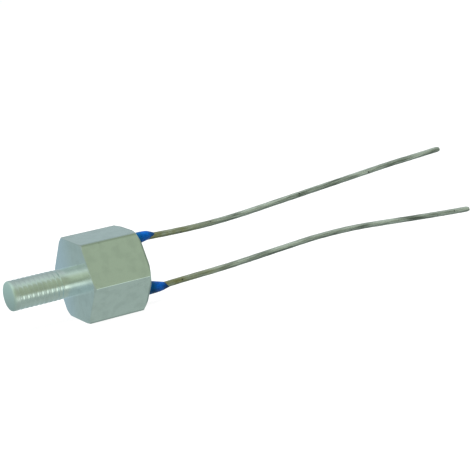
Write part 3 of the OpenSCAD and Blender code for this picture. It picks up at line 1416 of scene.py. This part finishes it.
@dataclass
class Studio:
    """White table and backdrop, soft light, and the camera."""

    floor_z: float
    floor_gap: float = 0.01
    table_half: float = 4000.0
    table_colour: str = "#c9cbcb"
    table_glow: float = 1.12
    glow_share: float = 0.82
    lamp_at: Point = (-40.0, -60.0, 260.0)
    lamp_aim: Point = (20.0, 0.0, 0.0)
    lamp_size: float = 260.0
    lamp_power: float = 2.2
    fill_level: float = 0.53
    peak: float = 4.0
    ends_from: Span = (0.7, 0.92)
    ends_rise: Span = (-0.7, 0.5)
    strip_edges: tuple[Span, Span] = ((0.18, 0.28), (0.66, 0.56))
    camera_at: Point = (-59.714, -132.743, 39.791)
    camera_right: Point = (0.84558, -0.52626, -0.08968)
    camera_up: Point = (0.20418, 0.1636, 0.96517)
    view_angle: float = 17.487
    clip: Span = (5.0, 10000.0)

    def floor(self) -> None:
        """Lays the table. To the camera it is mostly plain white, and it takes a faint shadow."""
        half, z = self.table_half * METRES, (self.floor_z - self.floor_gap) * METRES
        mesh = bpy.data.meshes.new("table_top")
        corners = [(-half, -half, z), (half, -half, z), (half, half, z), (-half, half, z)]
        mesh.from_pydata(corners, [], [(0, 1, 2, 3)])
        table = bpy.data.objects.new("table_top", mesh)
        bpy.context.scene.collection.objects.link(table)
        material, add = empty_material("white_table")
        matt = add("BsdfDiffuse", {"Color": linear(self.table_colour)})
        white = add("Emission", {"Strength": self.table_glow})
        seen = add("LightPath").outputs["Is Camera Ray"]
        share = add("Math", {0: seen, 1: self.glow_share}, operation="MULTIPLY")
        mixed = add("MixShader", {0: share, 1: matt, 2: white})
        add("OutputMaterial", {0: mixed})
        mesh.materials.append(material)
        table.visible_glossy = False

    def room(self) -> None:
        """Sets the world: white behind the part, and the room to what mirrors and lets through.

        Mirrored rays see ROOM round the part's X axis, plainer ends along the axis, and the
        strip light to the right. Rays that metal has mirrored twice see TWICE_MIRRORED.
        """
        world = bpy.data.worlds.new("white_room")
        world.use_nodes = True
        bpy.context.scene.world = world
        world.node_tree.nodes.clear()
        add = partial(add_node, world.node_tree)
        x, y, z = add("SeparateXYZ", {0: add("TexCoord").outputs["Generated"]}).outputs
        front = add("Math", {0: y, 1: -1.0}, operation="MULTIPLY")
        turn = add("Math", {0: z, 1: front}, operation="ARCTAN2")
        place = add("MapRange", {0: turn, 1: -math.pi, 2: math.pi})
        sideways = add("Math", {0: x}, operation="ABSOLUTE")
        edges = [(sideways, self.ends_from)] + [(x, edge) for edge in self.strip_edges]
        to_ends, left, right = (
            add("MapRange", {0: value, 1: start, 2: end}, **SMOOTH)
            for value, (start, end) in edges
        )
        strip = add("Math", {0: left, 1: right}, operation="MULTIPLY")
        height = add("MapRange", {0: z, 1: self.ends_rise[0], 2: self.ends_rise[1]})
        low, high = (self.stop(0.0, glow)[1] for glow in ROOM_ENDS)
        ends = add("Mix", {0: height, 6: low, 7: high}, **RGBA)
        rays = add("LightPath").outputs
        again = add("MapRange", {0: rays["Glossy Depth"], 1: 1.0, 2: 2.0})
        mirrored = self.ring(add, place, ROOM)
        for share, light, blend in (
            (to_ends, ends, "MIX"),
            (strip, self.ring(add, place, STRIP_LIGHT), "ADD"),
            (again, self.ring(add, place, TWICE_MIRRORED), "MIX"),
        ):
            mirrored = add("Mix", {0: share, 6: mirrored, 7: light}, **RGBA, blend_type=blend)
        white = (1.0, 1.0, 1.0, 1.0)
        glossy, soft, backdrop = (
            add("Background", {"Color": colour, "Strength": strength})
            for colour, strength in ((mirrored, self.peak), (white, self.fill_level), (white, 1.0))
        )
        bent = rays["Is Glossy Ray"], rays["Is Transmission Ray"]
        through = add("Math", {0: bent[0], 1: bent[1]}, operation="MAXIMUM")
        lit = add("MixShader", {0: through, 1: soft, 2: glossy})
        shown = add("MixShader", {0: rays["Is Camera Ray"], 1: lit, 2: backdrop})
        add("OutputWorld", {0: shown})

    def ring(self, add: Adder, place: Node, glows: Sequence[Glow]) -> Node:
        """Adds a ring of glow round the part's X axis.

        Args:
            add: Adds a node to the world's tree.
            place: Node with the angle round the axis, from 0 at -180 degrees to 1 at 180.
            glows: Stops of the ring.

        Returns:
            Node with the ring's light over the peak level.
        """
        stops = [self.stop((glow.angle + 180) / 360, glow) for glow in glows]
        return add("ValToRGB", {0: place}, stops=stops)

    def stop(self, place: float, glow: Glow) -> tuple[float, Colour]:
        """Puts a glow into a stop of a colour ramp, its level over the peak level.

        Args:
            place: Place on the ramp, from 0 to 1.
            glow: The glow.

        Returns:
            The place and the colour.
        """
        level = glow.level / self.peak
        red, green, blue, alpha = linear(glow.colour)
        return place, (red * level, green * level, blue * level, alpha)

    def lamps(self) -> None:
        """Hangs one large soft lamp overhead, a little to the front and left."""
        data = bpy.data.lights.new("overhead_softbox", "AREA")
        data.energy = self.lamp_power
        data.size = self.lamp_size * METRES
        lamp = bpy.data.objects.new("overhead_softbox", data)
        bpy.context.scene.collection.objects.link(lamp)
        lamp.location = Vector(self.lamp_at) * METRES
        aim = Vector(self.lamp_aim) * METRES - lamp.location
        lamp.rotation_euler = aim.to_track_quat("-Z", "Y").to_euler()
        lamp.visible_glossy = False

    def camera(self) -> None:
        """Puts the camera where the photo was taken from, as fitted to the case's outline."""
        data = bpy.data.cameras.new("camera")
        data.sensor_fit = "HORIZONTAL"
        data.angle = math.radians(self.view_angle)
        data.clip_start, data.clip_end = (distance * METRES for distance in self.clip)
        camera = bpy.data.objects.new("camera", data)
        bpy.context.scene.collection.objects.link(camera)
        right, up = Vector(self.camera_right), Vector(self.camera_up)
        turned = Matrix((right, up, right.cross(up))).transposed().to_4x4()
        camera.matrix_world = Matrix.Translation(Vector(self.camera_at) * METRES) @ turned
        bpy.context.scene.camera = camera

    def build(self) -> None:
        """Sets up everything round the part."""
        self.floor()
        self.room()
        self.lamps()
        self.camera()
        bpy.context.scene.view_settings.view_transform = "Standard"


def make_leads(disc_x: float, offset_y: float, rear_x: float) -> tuple[Lead, Lead]:
    """Describes the two leads, with the bends that they have in the part's source.

    Args:
        disc_x: Middle of the sensor disc, along the case axis.
        offset_y: Distance of each lead's plane from the case axis.
        rear_x: Plane of the rear face.

    Returns:
        The upper and the lower lead.
    """
    shared = {"disc_x": disc_x, "offset_y": offset_y, "rear_x": rear_x}
    upper = Lead(
        Side.UPPER,
        "lead_a",
        "upper_lead_wire",
        toe_in=1.8,
        length=40.7,
        bends=(Bend(5.5, 6.8, 80), Bend(17.5, -1.3, 80)),
        pattern_start=184.0,
        **shared,
    )
    lower = Lead(
        Side.LOWER,
        "lead_b",
        "lower_lead_wire",
        toe_in=2.1,
        length=42.9,
        bends=(Bend(9.5, -1.8, 70), Bend(7.7, 8.3, 70), Bend(8, -0.8, 70)),
        pattern_start=331.0,
        **shared,
    )
    return upper, lower


def make_coat(leads: tuple[Lead, Lead]) -> LacquerCoat:
    """Describes the lacquer, with each drop as it set on its lead.

    Args:
        leads: The upper and the lower lead.

    Returns:
        The lacquer coat.
    """
    drops = (
        Drop(
            leads[0],
            far=Flank(full=0.67, shoulder=2.6, end=3.5, swell_end=2.0),
            near=Flank(full=0.62, shoulder=1.35, end=2.6),
        ),
        Drop(
            leads[1],
            far=Flank(full=0.54, shoulder=2.5, end=3.7, swell_end=1.8),
            near=Flank(full=0.82, shoulder=1.5, end=3.05),
        ),
    )
    disc_low, disc_high = in_millimetres(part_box("ntc_disc"))
    low, high = in_millimetres(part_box("lacquer_coat"))
    return LacquerCoat(
        drops,
        disc_x=leads[0].disc_x,
        disc_r=(disc_high[2] - disc_low[2]) / 2,
        half_thickness=(high[1] - low[1]) / 2,
    )


def report(pieces: Sequence[bpy.types.Object]) -> None:
    """Logs each piece's name and how many triangles it has.

    Args:
        pieces: The pieces that scene.py makes.
    """
    for piece in pieces:
        corners = np.zeros(len(piece.data.polygons), dtype=np.int32)
        piece.data.polygons.foreach_get("loop_total", corners)
        LOG.info("%s: %d triangles", piece.name, int((corners - 2).sum()))


def main() -> None:
    """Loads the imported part, dresses it and sets up the studio."""
    logging.basicConfig(level=logging.INFO, format="%(name)s: %(message)s")
    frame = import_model()
    mounts = {mount["name"]: mount for mount in frame["record"]["mounts"]}

    case = HexCase.from_frame(mounts["stud"]["dims"]["r_mm"])
    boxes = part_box("ntc_disc"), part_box("lead_a")
    disc_middle, lead_middle = (sum(in_millimetres(box)) / 2 for box in boxes)
    leads = make_leads(disc_middle[0], lead_middle[1], case.body_l)
    coat = make_coat(leads)
    resin_low, resin_high = in_millimetres(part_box("potting"))
    fill = CastFill(case.cup_r, floor_x=resin_low[0], rim_x=resin_high[0], drops=coat.drops)
    pieces = [case.build(), leads[0].build(), leads[1].build(), coat.build(), fill.build()]
    Sensor(frame["nodes"]).dress()
    report(pieces)
    Studio(floor_z=-case.across_flats / 2).build()


if __name__ == "__main__":
    main()
